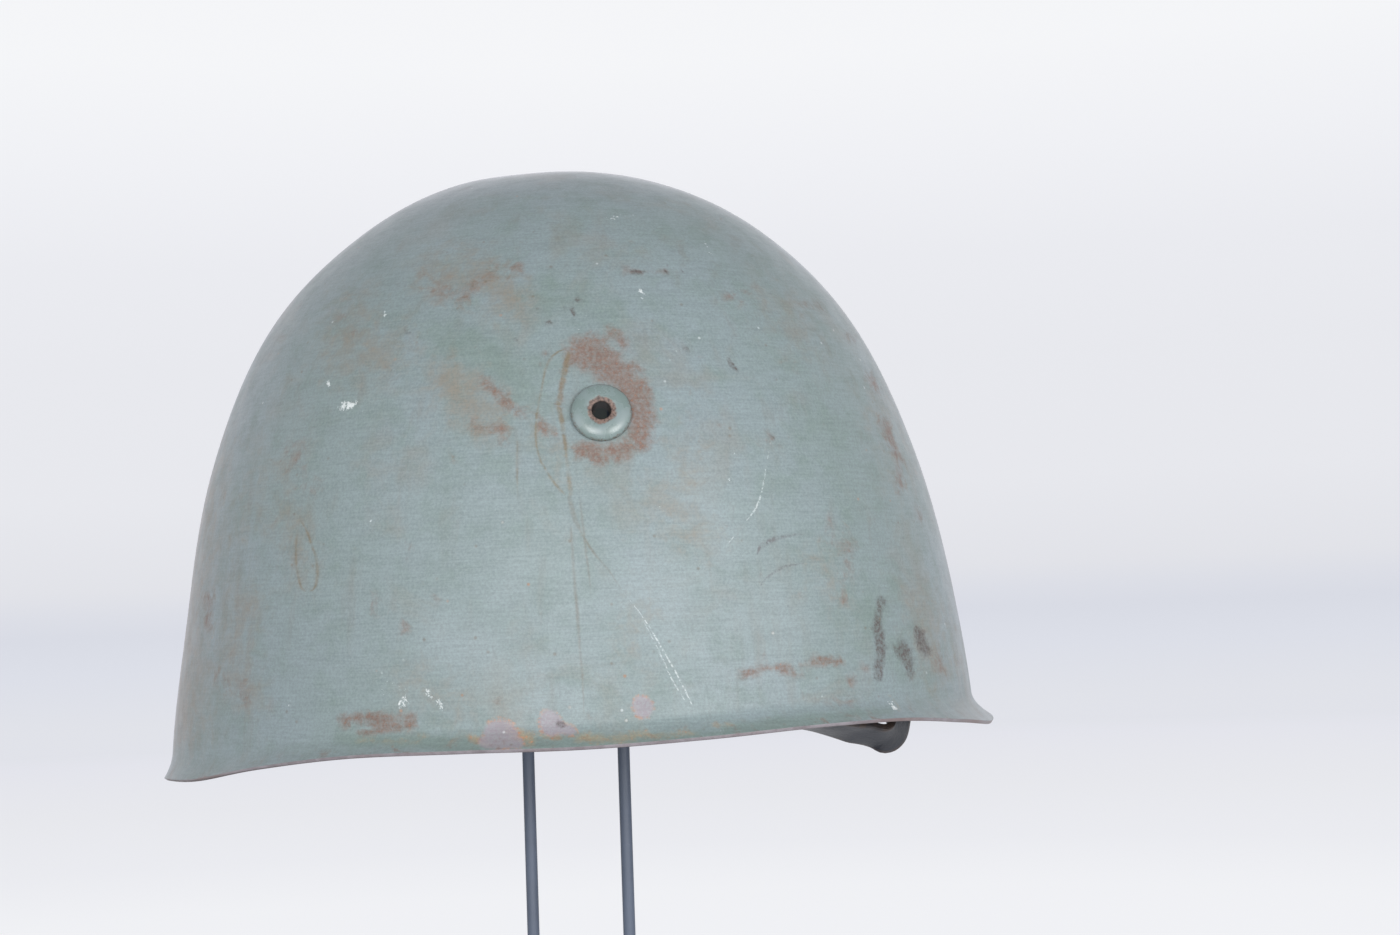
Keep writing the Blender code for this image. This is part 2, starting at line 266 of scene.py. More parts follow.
shell = {
    "rimHeight": 0.11, "shift": 0.0007, "crownHeight": 0.1977, "frontReach": 0.1311, "rearReach": 0.1339,
    "halfWidth": 0.116, "wall": 0.0012, "flareFront": 0.0061, "flareSide": 0.0045, "flareRear": 0.0021,
    "flareRise": 0.0085, "flareRiseSide": 0.0065, "segments": 320, "rows": 116, "flareShare": 0.17, "crowding": 0.3,
    "edgeBevel": 0.0002, "front": (1, 0.997, 1.014, 1.033, 1.025, 1.01, 1),
    "rear": (1, 0.993, 1.028, 1.054, 1.04, 1.025, 1), "side": (1, 0.995, 1.023, 1.038, 1.03, 1.013, 1),
    "rimLine": (0.066, 0.075, 0.085, 0.083, 0.074, 0.067, 0.066, 0.062, 0.046, 0.025, 0.019, 0.015, 0.017),
    # soft dents: azimuth and rise in degrees, radius and depth in metres
    "dents": ((-70, 12, 0.02, 0.00022), (-50, 38, 0.016, 0.00018), (-105, 24, 0.022, 0.0002),
              (-128, 44, 0.018, 0.00018), (-88, 52, 0.02, 0.00015), (35, 30, 0.02, 0.00025), (80, 20, 0.024, 0.00022),
              (140, 36, 0.02, 0.00025), (175, 60, 0.022, 0.0002), (-20, 50, 0.016, 0.0002)),
}
vent = {
    "radius": 0.0089, "proud": 0.0027, "edge": 0.0004, "bore": 0.0027, "lip": 0.0037, "tubeWall": 0.0009,
    "flange": 0.006, "flangeThickness": 0.001, "azimuth": 70.6, "rise": 32.3, "gap": 0.0003, "sag": 0.0002,
    "sides": 96, "domeSteps": 10, "roll": (0.35, 0.7, 1.05, 1.4), "softEdge": 0.0001,
}


def easeThrough(f, before, start, end, after):
    slopeIn, slopeOut = (end - before) / 2, (after - start) / 2
    return ((2 * f**3 - 3 * f**2 + 1) * start + (f**3 - 2 * f**2 + f) * slopeIn
            + (3 * f**2 - 2 * f**3) * end + (f**3 - f**2) * slopeOut)


def curveThrough(values, position):
    values, position = np.asarray(values, float), np.asarray(position, float)
    last = len(values) - 1
    step = np.clip(position.astype(int), 0, last - 1)
    return easeThrough(position - step, *(values[last - np.abs(last - np.abs(step + k))] for k in (-1, 0, 1, 2)))


def crownPoint(azimuth, rise):
    azimuth, rise = np.broadcast_arrays(np.asarray(azimuth, float), np.asarray(rise, float))
    inTable = rise / (math.pi / 2) * 6
    ahead = np.cos(azimuth) > 0
    fullness = np.where(ahead, curveThrough(shell["front"], inTable), curveThrough(shell["rear"], inTable))
    side = curveThrough(shell["side"], inTable)
    reach = np.where(ahead, shell["frontReach"], shell["rearReach"])
    along = np.cos(azimuth) ** 2
    return np.stack((reach * np.cos(rise) * fullness * np.cos(azimuth),
                     shell["halfWidth"] * np.cos(rise) * side * np.sin(azimuth),
                     shell["crownHeight"] * np.sin(rise) * (along * fullness + (1 - along) * side)), -1)


def crownNormal(azimuth, rise):
    step = 0.001
    roundIt = crownPoint(azimuth + step, rise) - crownPoint(azimuth - step, rise)
    upIt = crownPoint(azimuth, rise + step) - crownPoint(azimuth, rise - step)
    return unit(np.cross(roundIt, upIt))


def riseAt(azimuth, height):
    low, high = np.zeros_like(azimuth), np.full_like(azimuth, math.pi / 2)
    for _ in range(26):
        middle = (low + high) / 2
        below = crownPoint(azimuth, middle)[..., 2] < height
        low, high = np.where(below, middle, low), np.where(below, high, middle)
    return low


def rimHeight(azimuth):
    fromFront = np.abs(np.mod(azimuth + math.pi, math.tau) - math.pi)
    return shell["crownHeight"] * curveThrough(shell["rimLine"], fromFront / math.pi * 12)


def toPart(points):
    return points + np.array((shell["shift"], 0, shell["rimHeight"]))


def surfaceMatrix(azimuth, rise):
    normal = Vector(crownNormal(azimuth, rise))
    level = Vector((0, 0, 1)).cross(normal).normalized()
    turned = Matrix((level, normal.cross(level), normal)).transposed().to_4x4()
    return Matrix.Translation(Vector(toPart(crownPoint(azimuth, rise)))) @ turned


def ventPlaces():
    side, rise = math.radians(vent["azimuth"]), math.radians(vent["rise"])
    return {"vent_right": (-side, rise), "vent_left": (side, rise), "vent_rear": (math.pi, rise)}


def makeShell():
    piece = addShape(bpy.ops.mesh.primitive_uv_sphere_add, segments=shell["segments"], ring_count=2 * shell["rows"],
                     radius=1)
    startEdit()
    bpy.ops.mesh.bisect(plane_co=(0, 0, -0.001), plane_no=(0, 0, 1), clear_inner=True, use_fill=False)
    endEdit()

    ball = readPoints(piece)
    turn = np.arctan2(ball[:, 1], ball[:, 0])
    azimuth = turn - shell["crowding"] * np.cos(turn)  # closer columns on the right side
    share = np.clip(np.arcsin(np.clip(ball[:, 2], -1, 1)) / (math.pi / 2), 0, 1)
    along = np.cos(azimuth) ** 2
    out = np.where(np.cos(azimuth) > 0, shell["flareFront"], shell["flareRear"]) * along
    out += shell["flareSide"] * (1 - along)
    band = shell["flareRise"] * along + shell["flareRiseSide"] * (1 - along)
    rim = rimHeight(azimuth)
    above = band * np.clip(share / shell["flareShare"], 0, 1) ** 1.15
    topOfBand = riseAt(azimuth, rim + band)
    onWall = np.clip((share - shell["flareShare"]) / (1 - shell["flareShare"]), 0, 1)
    rise = np.where(share < shell["flareShare"], riseAt(azimuth, rim + above),
                    topOfBand + (math.pi / 2 - topOfBand) * onWall)
    points = crownPoint(azimuth, rise)
    normal = crownNormal(azimuth, np.minimum(rise, math.pi / 2 - 0.01))
    points += unit(normal * (1, 1, 0)) * (out * (1 - np.clip(above / band, 0, 1)) ** 2)[:, None]
    points = toPart(points)
    for dentTurn, dentRise, radius, depth in shell["dents"]:
        middle = toPart(crownPoint(math.radians(dentTurn), math.radians(dentRise)))
        reach = np.linalg.norm(points - middle, axis=1) / radius
        points -= normal * (depth * np.exp(-reach ** 2) * (share > shell["flareShare"]))[:, None]
    writePoints(piece, points)
    startEdit()
    bpy.ops.mesh.remove_doubles(threshold=0.00003)
    endEdit()

    for name in ("outside", "edge", "inside"):  # the wall's faces are told apart by their slots
        piece.data.materials.append(bpy.data.materials.new(name))
    applyModifier(piece, "SOLIDIFY", thickness=shell["wall"], offset=-1, use_even_offset=True,
                  material_offset=2, material_offset_rim=1)
    cutters = []
    for place in ventPlaces().values():
        cutters.append(addShape(bpy.ops.mesh.primitive_cylinder_add, vertices=64, depth=12 * shell["wall"],
                                radius=vent["bore"] + vent["tubeWall"] + vent["gap"]))
        cutters[-1].matrix_world = surfaceMatrix(*place)
    cutAway(piece, join(cutters))
    bevel(piece, shell["edgeBevel"], 2)
    smooth(piece, 40)
    return piece


# marks on the shell, charted at twice the photo's size from the corner (140, 150)

chart = {
    "left": 140, "top": 150, "scale": 2, "mirror": 1846, "core": 0.06, "farSide": 0.05, "softest": 5, "rimBand": 0.05,
}
marks = {
    # each mark: strength, half width in chart steps, then x and y of the points along it
    "rust": (
        (1, 26, 880,404, 905,412, 940,428, 968,452), (1, 22, 968,452, 990,492, 1002,540, 998,578),
        (0.9, 16, 1004,470, 1014,520, 1010,560), (0.9, 16, 876,385, 884,402),
        (0.9, 18, 884,600, 925,608, 972,598), (0.55, 20, 945,360, 965,385), (0.5, 16, 905,380, 930,392),
        (0.7, 12, 690,462, 716,490, 745,512, 766,524), (0.6, 7, 858,402, 848,450, 837,512),
        (0.7, 9, 800,536, 812,566), (0.6, 8, 826,556, 834,572), (0.6, 14, 668,545, 735,560),
        (0.5, 8, 812,402, 800,430), (0.55, 9, 728,592, 734,596), (0.45, 26, 590,275, 640,290, 676,268),
        (0.4, 20, 702,245, 758,232), (0.5, 10, 408,330, 432,360), (0.35, 26, 300,600, 322,640, 330,680),
        (0.5, 14, 160,1050, 172,1075), (0.5, 14, 198,1070, 212,1100), (0.45, 14, 140,890, 136,950),
        (0.85, 13, 408,1142, 470,1136, 540,1140), (0.75, 9, 440,1165, 520,1155), (0.4, 10, 535,930, 530,985),
        (0.5, 12, 535,790, 540,806), (0.4, 9, 468,880, 466,930), (0.4, 9, 575,880, 598,898),
        (0.6, 7, 965,238, 1000,240), (0.5, 6, 1020,238, 1052,242), (0.45, 8, 1168,300, 1200,284, 1232,276),
        (0.5, 15, 1380,775, 1425,792, 1412,835), (0.55, 8, 1405,840, 1408,900), (0.4, 7, 1376,720, 1380,790),
        (0.7, 11, 1200,1050, 1240,1034, 1290,1034), (0.7, 11, 1312,1048, 1352,1020, 1398,1024),
        (0.45, 11, 1422,1058, 1452,1036), (0.45, 12, 1602,1004, 1600,1056), (0.6, 11, 1487,540, 1508,600),
        (0.6, 10, 1522,622, 1520,676), (0.45, 12, 1556,712, 1560,740), (0.5, 12, 1458,450, 1478,480),
        (0.5, 10, 1412,366, 1424,380), (0.4, 14, 1322,306, 1360,316), (0.6, 5, 1100,402, 1124,410),
        (0.6, 5, 1222,450, 1230,456), (0.5, 6, 1306,440, 1314,444), (0.6, 5, 1148,540, 1152,544),
        (0.6, 5, 1314,878, 1320,884), (0.6, 5, 434,436, 438,440), (0.55, 5, 568,354, 574,358),
        (0.6, 5, 1052,880, 1056,884), (0.5, 6, 1103,950, 1107,954), (0.55, 8, 716,1110, 724,1112),
        (0.6, 8, 890,1135, 902,1137), (0.4, 10, 1330,1095, 1420,1105), (0.45, 16, 1262,578, 1266,584),
    ),
    # a brownish haze of the paint, and along the left and right sides painted shade that darkens the shell towards its
    # outline
    "hazeAndSideShade": (
        (0.6, 60, 1040,700, 1080,740, 1120,770), (0.75, 55, 600,260, 680,250, 740,300),
        (0.8, 60, 120,640, 90,900, 80,1150), (0.45, 60, 240,640, 230,760), (0.6, 50, 210,900, 180,1000),
        (0.6, 50, 1560,900, 1600,1040), (0.8, 60, 620,470, 690,530), (0.5, 50, 290,640, 320,820),
        (0.65, 60, 430,330, 400,420, 500,400), (0.5, 50, 1090,560, 1100,660), (0.6, 40, 160,1040, 230,1100),
        (0.5, 60, 560,1060, 640,1120), (0.5, 50, 1000,900, 980,1010), (0.6, 60, 140,560, 110,800),
        (0.5, 50, 1360,820, 1400,900), (0.5, 50, 1480,500, 1530,640), (0.4, 60, 1250,300, 1330,380),
        (0.5, 45, 800,545, 850,640),
    ),
    # pale marks: painted highlights, lighter bluish patches where the lamps' broad sheen falls on the shell
    "pale": (
        (0.8, 80, 1010,860, 1050,920), (0.7, 75, 1100,660, 1150,740), (0.8, 70, 600,980, 680,1000),
        (0.6, 60, 560,200, 600,180), (0.6, 60, 1270,900, 1300,960), (0.5, 60, 720,900, 760,860),
    ),
    # green: a green tone of the paint; the last four rows, along the rim, are painted shade, a darker green band over
    # the flare
    "green": (
        (0.9, 30, 690,405, 730,440), (0.7, 50, 640,380, 760,460), (0.5, 60, 1350,560, 1420,700),
        (0.6, 50, 820,300, 900,320), (0.5, 60, 1450,900, 1500,980), (0.9, 14, 400,1176, 700,1192),
        (1, 14, 700,1185, 1180,1180), (1, 15, 1180,1160, 1360,1140), (0.8, 12, 1360,1136, 1500,1122),
    ),
    "stain": (
        (0.95, 10, 1482,905, 1474,950, 1482,1000, 1476,1052), (0.9, 17, 1526,996, 1534,1014),
        (0.8, 11, 1538,1014, 1540,1046), (0.9, 11, 1556,962, 1572,1004), (0.9, 6, 815,345, 822,342),
        (0.9, 5, 846,322, 850,319), (1, 4, 862,310, 880,300), (0.8, 4, 868,330, 870,331),
        (0.9, 5, 745,385, 752,383), (0.9, 4, 766,372, 770,370), (0.9, 4, 795,368, 797,367),
        (0.9, 5, 742,328, 748,326), (0.9, 4, 795,320, 798,318), (1, 5, 1088,395, 1092,397),
        (0.9, 6, 1180,420, 1184,432), (0.8, 5, 984,245, 1006,240), (0.9, 4, 1050,240, 1056,236),
        (0.9, 4, 1083,238, 1084,246), (0.7, 8, 534,360, 536,368), (1, 5, 1190,437, 1196,441),
        (0.8, 6, 838,1148, 850,1150), (0.7, 5, 1246,590, 1250,594), (0.6, 6, 1258,570, 1270,582),
        (0.8, 3, 1290,905, 1293,908), (0.6, 4, 640,845, 646,848), (0.6, 4, 565,828, 568,830),
    ),
    "primer": (
        (1, 26, 715,1166, 728,1170), (0.8, 15, 690,1184, 755,1186), (1, 21, 819,1142, 822,1150),
        (0.7, 16, 852,1158, 862,1162), (1, 20, 1004,1112, 1007,1115),
    ),
    "ochre": (
        (0.7, 10, 668,1176, 690,1186), (0.8, 12, 742,1160, 780,1182), (0.6, 8, 790,1168, 840,1176),
        (0.7, 13, 880,1176, 960,1180, 1010,1168), (0.55, 11, 1010,1172, 1110,1166),
        (0.5, 8, 1140,1152, 1180,1148), (0.5, 10, 440,1180, 560,1186), (0.35, 12, 540,1170, 620,1180),
        (0.5, 7, 1500,1092, 1520,1120),
    ),
    "nick": (
        (1, 5, 1001,278, 1006,290), (0.9, 4, 874,361, 877,364), (0.8, 4, 489,325, 492,328),
        (1, 6, 402,512, 420,509, 446,514), (0.8, 4, 374,467, 378,470), (0.9, 4, 1282,537, 1318,538),
        (0.9, 7, 1028,704, 1034,710), (0.9, 4, 1503,1106, 1510,1118), (0.8, 3, 1369,853, 1371,856),
        (0.6, 3, 936,138, 984,130), (0.5, 3, 1126,184, 1148,218), (0.5, 3, 1062,392, 1108,408),
        (0.5, 3, 1176,652, 1180,678), (0.5, 3, 470,732, 456,764), (1, 7, 484,1082, 504,1076, 526,1082),
        (1, 6, 516,1104, 526,1110), (0.9, 6, 572,1084, 600,1106), (0.9, 5, 366,1131, 398,1129),
        (0.6, 3, 535,1112, 545,1118), (0.6, 4, 446,994, 450,998), (0.6, 3, 900,394, 930,400),
        (0.7, 3, 1195,540, 1198,543), (0.6, 3, 1186,598, 1190,602), (0.6, 3, 1150,1160, 1156,1163),
        (0.7, 3, 300,1112, 310,1116), (0.6, 3, 1430,1130, 1434,1132), (0.8, 4, 568,930, 572,934),
    ),
}
# drawn lines: points along them, half width at start, middle and end, in chart steps
lines = {
    "drips": (
        ((862, 752, 868,850, 875,930, 880,1000, 885,1060, 888,1136), (2.2, 2.6, 1.2)),
        ((880, 696, 888,770, 898,850, 903,905), (1.6, 1.8, 0.6)),
        ((858, 690, 866,726, 884,768), (4, 5, 3)),
        ((884, 768, 908,806, 938,842, 966,884), (3, 2.4, 1)),
    ),
    "runs": (
        ((850, 398, 815,428, 803,480, 792,540), (3, 2.4, 2.6)),
        ((792, 540, 795,600, 815,645, 850,690), (2.4, 2.4, 3.4)),
        ((858, 402, 848,450, 837,512), (4.5, 5.5, 5)),
        ((837, 512, 848,570, 856,640, 862,692), (5, 4, 4.4)),
        ((320, 740, 343,788, 355,850, 338,884), (1.6, 2.2, 2.2)),
        ((320, 740, 312,800, 318,860, 338,884), (1, 2, 2.2)),
        ((755, 580, 754,640, 756,700), (1.2, 1.6, 0.6)),
    ),
    "scratches": (
        ((968, 886, 1010,940, 1046,1000, 1080,1060, 1106,1114), (0.8, 1.8, 1.4)),
        ((1004, 936, 1042,1010, 1064,1058, 1092,1104), (0.6, 1.6, 1.2)),
        ((1262, 582, 1255,620, 1245,680), (0.6, 1, 1.2)), ((1245, 680, 1232,716, 1212,742), (1.2, 2.2, 1.4)),
        ((1196, 764, 1184,778, 1172,792), (0.8, 1.4, 0.8)),
    ),
    "scuffs": (
        ((1233, 806, 1248,788, 1280,775, 1332,768), (6, 4, 1.4)),
        ((1240, 872, 1266,846, 1292,833, 1328,827), (2, 2.4, 1.4)),
    ),
}


def toChart(points):
    place, right, up, ahead = (np.array(axis) for axis in cameraAxes())
    seen = points - place
    depth = seen @ ahead
    across, down = (camera["focal"] * (seen @ axis) / depth for axis in (right, -up))
    wide, high = camera["frame"]
    return np.stack((across + wide / 2 - chart["left"], down + high / 2 - chart["top"]), -1) * chart["scale"]


def distanceToLine(spots, line):
    nearest = np.full(len(spots), 1e9)
    line = np.asarray(line, float).reshape(-1, 2)
    for start, end in zip(line, line[1:]):
        step = end - start
        share = np.clip((spots - start) @ step / max(step @ step, 1e-9), 0, 1)
        nearest = np.minimum(nearest, np.linalg.norm(spots - start - share[:, None] * step, axis=1))
    return nearest


def chartMarks(piece):
    points, normals = readPoints(piece), readPoints(piece, normals=True)
    place = np.array(cameraAxes()[0])
    spots = toChart(points)
    middle = np.array((shell["shift"], 0, shell["rimHeight"] + chart["core"]))
    outside = np.einsum("ij,ij->i", normals, points - middle) > 0
    facing = np.einsum("ij,ij->i", normals, place - points) > 0
    seen = (facing & outside & (points[:, 1] < chart["farSide"])).astype(float)
    writeAttribute(piece, "chart", np.column_stack((spots / 1000, seen)))
    away = (outside & ~(seen > 0)).astype(float)
    mirrored = toChart(points * (1, -1, 1)) * (-1, 1) + (chart["mirror"], 0)
    for name, strokes in marks.items():
        total = np.zeros(len(points))
        for strength, width, *line in strokes:
            soft = max(width, chart["softest"])
            for where, share in ((spots, seen), (mirrored, away)):
                if name == "nick" and share is away:
                    continue
                fall = np.clip(1 - distanceToLine(where, line) / (2 * soft), 0, 1) * strength * share
                total = np.maximum(total, fall)
        writeAttribute(piece, name, total)
    above = points[:, 2] - shell["rimHeight"] - rimHeight(np.arctan2(points[:, 1], points[:, 0] - shell["shift"]))
    writeAttribute(piece, "aboveRim", np.clip(above / chart["rimBand"], 0, 1))
    # painted shade: how far each face turns downwards, read by the rim's paint for a dark line under its edge
    writeAttribute(piece, "under", np.clip(-normals[:, 2], 0, 1))


def curveOf(value, knots):
    made = addNode(value, "FloatCurve", {"Value": value})
    curve = made.mapping.curves[0]
    for place, _ in knots[1:-1]:
        curve.points.new(place, 0.5)
    for point, knot in zip(curve.points, knots):
        point.location = knot
    made.mapping.update()
    return made.outputs[0]


def drawnLine(where, points, widths, soft=1.6):
    """A stroke from x and y sockets of the chart, which are in thousands of its steps."""
    points = np.asarray(points, float).reshape(-1, 2) / 1000
    spanX, spanY = np.ptp(points[:, 0]), np.ptp(points[:, 1])
    alongIs, acrossIs = (1, 0) if spanY >= spanX else (0, 1)
    points = points[np.argsort(points[:, alongIs])]
    low, high = points[0, alongIs], points[-1, alongIs]
    left, right = points[:, acrossIs].min() - 0.002, points[:, acrossIs].max() + 0.002
    share = between(where[alongIs], low, high, kind="LINEAR")
    knots = [((point[alongIs] - low) / (high - low), (point[acrossIs] - left) / (right - left)) for point in points]
    across = between(curveOf(share, knots), 0, 1, left, right, kind="LINEAR")
    offset = calc("ABSOLUTE", calc("SUBTRACT", where[acrossIs], across))
    top = max(widths)
    knots = [(0, 0)] + [(place, width / top) for place, width in zip((0.03, 0.5, 0.97), widths)] + [(1, 0)]
    soft /= 1000
    width = calc("MULTIPLY_ADD", curveOf(share, knots), top / 1000 + soft, -soft)
    return between(calc("SUBTRACT", width, offset), -soft, soft)


print("marks charted")


# paint

paint = {
    "base": (0.148, 0.187, 0.189), "green": (0.116, 0.156, 0.14), "blue": (0.16, 0.197, 0.209),
    # the haze colour also paints shade along the sides
    "hazeAndSideShade": (0.155, 0.138, 0.112), "rust": (0.132, 0.082, 0.064), "orange": (0.34, 0.145, 0.065),
    "dark": (0.058, 0.043, 0.041), "primer": (0.205, 0.18, 0.202), "ochre": (0.245, 0.185, 0.105),
    # pale is the colour of the painted highlights
    "white": (0.5, 0.53, 0.53), "brown": (0.112, 0.09, 0.066), "pale": (0.178, 0.216, 0.226),
    "run": (0.128, 0.1, 0.062), "scuff": (0.085, 0.078, 0.084),
    "roughness": 0.46, "specular": 0.36, "sheen": 0.28, "sheenRoughness": 0.35, "sheenTint": (0.96, 0.93, 1),
}


def paintShell():
    material, shader, where = newMaterial("shellPaint")
    axes = addNode(where, "SeparateXYZ", {"Vector": attributeOf(where, "chart", "Vector")})
    seen = calc("GREATER_THAN", axes.outputs[2], 0.5)
    wobble = addNode(where, "TexNoise", {"Vector": where, "Scale": 900, "Detail": 2.0}).outputs["Color"]
    wobble = addNode(where, "VectorMath", {0: wobble, 1: (0.5, 0.5, 0.5)}, operation="SUBTRACT").outputs[0]
    shake = addNode(where, "SeparateXYZ", {"Vector": wobble})
    spot = [calc("MULTIPLY_ADD", shake.outputs[k], 0.004, axes.outputs[k]) for k in (0, 1)]
    large = grain(where, 16, 4, 0.6)
    patchy = grain(where, 42, 6, 0.65, 0.5)
    middling = grain(where, 110, 6, 0.65)
    ragged = grain(where, 180, 8, 0.7, 0.4)
    fine = grain(where, 900, 4, 0.7)
    crumbs = grain(where, 1300, 5, 0.75)
    weave = grain(stretched(where, (90, 90, 1500)), 1, 4, 0.7)
    colour = tint(between(large, 0.35, 0.68), paint["base"], paint["blue"])
    colour = wash(colour, between(middling, 0.42, 0.72), 0.45, paint["green"])
    colour = wash(colour, between(patchy, 0.5, 0.7), 0.3, paint["hazeAndSideShade"])
    streaks = grain(stretched(where, (150, 150, 9)), 1, 4, 0.6)
    colour = wash(colour, between(streaks, 0.54, 0.74), 0.22, paint["brown"])
    rough = between(middling, 0.3, 0.7, paint["roughness"] - 0.06, paint["roughness"] + 0.08)

    def attributeMask(name, low, high, amount, source):
        return between(jitter(source, amount, attributeOf(where, name)), low, high)

    # painted highlights: the pale marks lighten the shell where the lamps' sheen falls
    colour = wash(colour, attributeMask("pale", 0.05, 0.95, 0.5, middling), 0.8, paint["pale"])
    # painted shade along the rim from the green marks, with a green tone of the paint elsewhere
    colour = wash(colour, attributeMask("green", 0.1, 0.8, 0.9, middling), 0.62, paint["green"])
    # painted shade towards the left and right outlines, mixed with a brownish haze of the paint
    hazeAndSideShade = attributeMask("hazeAndSideShade", 0.2, 1, 1.6, ragged)
    colour = wash(colour, hazeAndSideShade, between(crumbs, 0.35, 0.65, 0.6, 0.95), paint["hazeAndSideShade"])
    rust = attributeMask("rust", 0.18, 0.8, 1.6, ragged)
    colour = wash(colour, rust, between(fine, 0.34, 0.64, 0.5, 0.95), paint["rust"])
    embers = times(between(rust, 0.3, 0.7), between(fine, 0.65, 0.72))
    colour = wash(colour, embers, 0.6, paint["orange"])
    ochre = attributeMask("ochre", 0.25, 0.85, 1.5, ragged)
    colour = wash(colour, ochre, 0.6, paint["ochre"])
    colour = wash(colour, times(ochre, between(fine, 0.56, 0.66)), 0.75, paint["orange"])
    primerField = jitter(ragged, 0.35, attributeOf(where, "primer"))
    primer = between(primerField, 0.36, 0.56)
    primerRing = times(between(primerField, 0.3, 0.42), calc("SUBTRACT", 1, between(primerField, 0.42, 0.6)))
    colour = wash(colour, primer, between(crumbs, 0.35, 0.65, 0.95, 0.55), paint["primer"])
    ringGate = times(between(patchy, 0.46, 0.56), between(fine, 0.42, 0.58))
    colour = wash(colour, primerRing, times(ringGate, 0.5), paint["orange"])
    stain = attributeMask("stain", 0.32, 0.72, 1.2, ragged)
    colour = wash(colour, stain, between(fine, 0.36, 0.62, 0.9, 0.35), paint["dark"])

    groups = {}
    for name, strokes in lines.items():
        total = None
        for points, widths in strokes:
            stroke = drawnLine(spot, points, widths, soft=1.0 if name == "scratches" else 3)
            total = stroke if total is None else calc("MAXIMUM", total, stroke)
        groups[name] = times(total, seen)
    colour = wash(colour, groups["drips"], between(ragged, 0.3, 0.6, 0.15, 0.5), paint["brown"])
    colour = wash(colour, groups["runs"], between(ragged, 0.34, 0.62, 0.15, 0.75), paint["run"])
    colour = wash(colour, groups["scuffs"], between(fine, 0.42, 0.6, 0.75, 0.1), paint["scuff"])

    specks = addNode(where, "TexVoronoi", {"Vector": where, "Scale": 260.0}, feature="F1")
    rare = addNode(where, "SeparateColor", {"Color": specks.outputs["Color"]})
    # reach, range of rarity, strength and colour, one row for each channel of the random colour
    rows = ((0.19, 0.84, 0.9, 0.5, "brown"), (0.16, 0.955, 0.97, 0.4, "white"), (0.18, 0.972, 0.98, 0.4, "orange"))
    for channel, (reach, low, high, share, tone) in enumerate(rows):
        speck = times(between(specks.outputs["Distance"], 0.06, reach, 1, 0), between(rare.outputs[channel], low, high))
        colour = wash(colour, speck, share, paint[tone])
    scratchGate = times(groups["scratches"], between(fine, 0.44, 0.58, 0, 0.55))
    nick = attributeMask("nick", 0.52, 0.8, 2.2, fine)
    pale = calc("MAXIMUM", scratchGate, nick)
    colour = wash(colour, pale, 0.85, paint["white"])

    rimRust = times(between(attributeOf(where, "aboveRim"), 0, 0.1, 1, 0), between(ragged, 0.52, 0.68))
    colour = wash(colour, rimRust, 0.7, paint["rust"])
    # fine grain over everything: crumbs, and the faint level lines of the brush
    shade = calc("ADD", between(crumbs, 0.3, 0.7, 0.86, 1.12), between(weave, 0.3, 0.7, -0.07, 0.07))
    colour = addNode(where, "VectorMath", {0: colour, 1: shade}, operation="MULTIPLY").outputs[0]
    rough = calc("MULTIPLY_ADD", calc("MAXIMUM", rust, stain), 0.22, rough)
    height = calc("ADD", times(crumbs, 0.4), times(middling, 0.9))
    height = calc("SUBTRACT", height, times(calc("MAXIMUM", pale, calc("MAXIMUM", rust, stain)), 0.5))
    fill(shader, {"Base Color": colour, "Roughness": rough, "Normal": bump(height, 0.00012, 0.6),
                  "Specular IOR Level": paint["specular"], "Sheen Weight": paint["sheen"],
                  "Sheen Roughness": paint["sheenRoughness"], "Sheen Tint": paint["sheenTint"]})
    return material


def paintRim():
    material, shader, where = newMaterial("rimEdge")
    ragged = grain(where, 220, 6, 0.65)
    along = grain(where, 30, 3, 0.5)
    colour = tint(between(ragged), (0.165, 0.145, 0.155), (0.235, 0.215, 0.232))
    colour = wash(colour, between(along, 0.5, 0.7), 0.6, (0.14, 0.085, 0.07))
    # painted shade: the rim's downward faces near black
    under = between(attributeOf(where, "under"), 0.62, 0.78)
    colour = wash(colour, under, 0.85, (0.045, 0.03, 0.03))
    rough = between(ragged, 0.3, 0.7, 0.38, 0.6)
    fill(shader, {"Base Color": colour, "Roughness": rough, "Normal": bump(ragged, 0.0001, 0.5), "Metallic": 0.35})
    return material


def paintInside():
    material, shader, where = newMaterial("insidePaint")
    large = grain(where, 18, 5, 0.6)
    ragged = grain(where, 90, 8, 0.68, 0.5)
    fine = grain(where, 500, 4, 0.6)
    colour = tint(between(large), (0.07, 0.09, 0.086), (0.092, 0.11, 0.106))
    colour = wash(colour, between(ragged, 0.52, 0.66), 0.75, (0.08, 0.05, 0.035))
    colour = wash(colour, between(times(ragged, fine), 0.3, 0.38), 0.7, (0.25, 0.125, 0.056))
    rough = between(large, 0.3, 0.7, 0.5, 0.68)
    fill(shader, {"Base Color": colour, "Roughness": rough, "Normal": bump(calc("ADD", fine, ragged), 0.00015, 0.6)})
    return material


shellPiece = makeShell()
chartMarks(shellPiece)
finishPiece(shellPiece, "helmetShell", (paintShell(), paintRim(), paintInside()), "shell")


# vents

def turnOutline(outline, sides):
    """A ring of vertices, extruded and resized along a closed outline of radius and height, then bridged shut."""
    radius, height = outline[0]
    piece = addShape(bpy.ops.mesh.primitive_circle_add, vertices=sides, radius=radius, location=(0, 0, 0))
    startEdit()
    bpy.ops.transform.translate(value=(0, 0, height))
    extrudeRings(outline)
    bpy.ops.mesh.region_to_loop()
    bpy.ops.mesh.bridge_edge_loops()
    endEdit()
    return piece


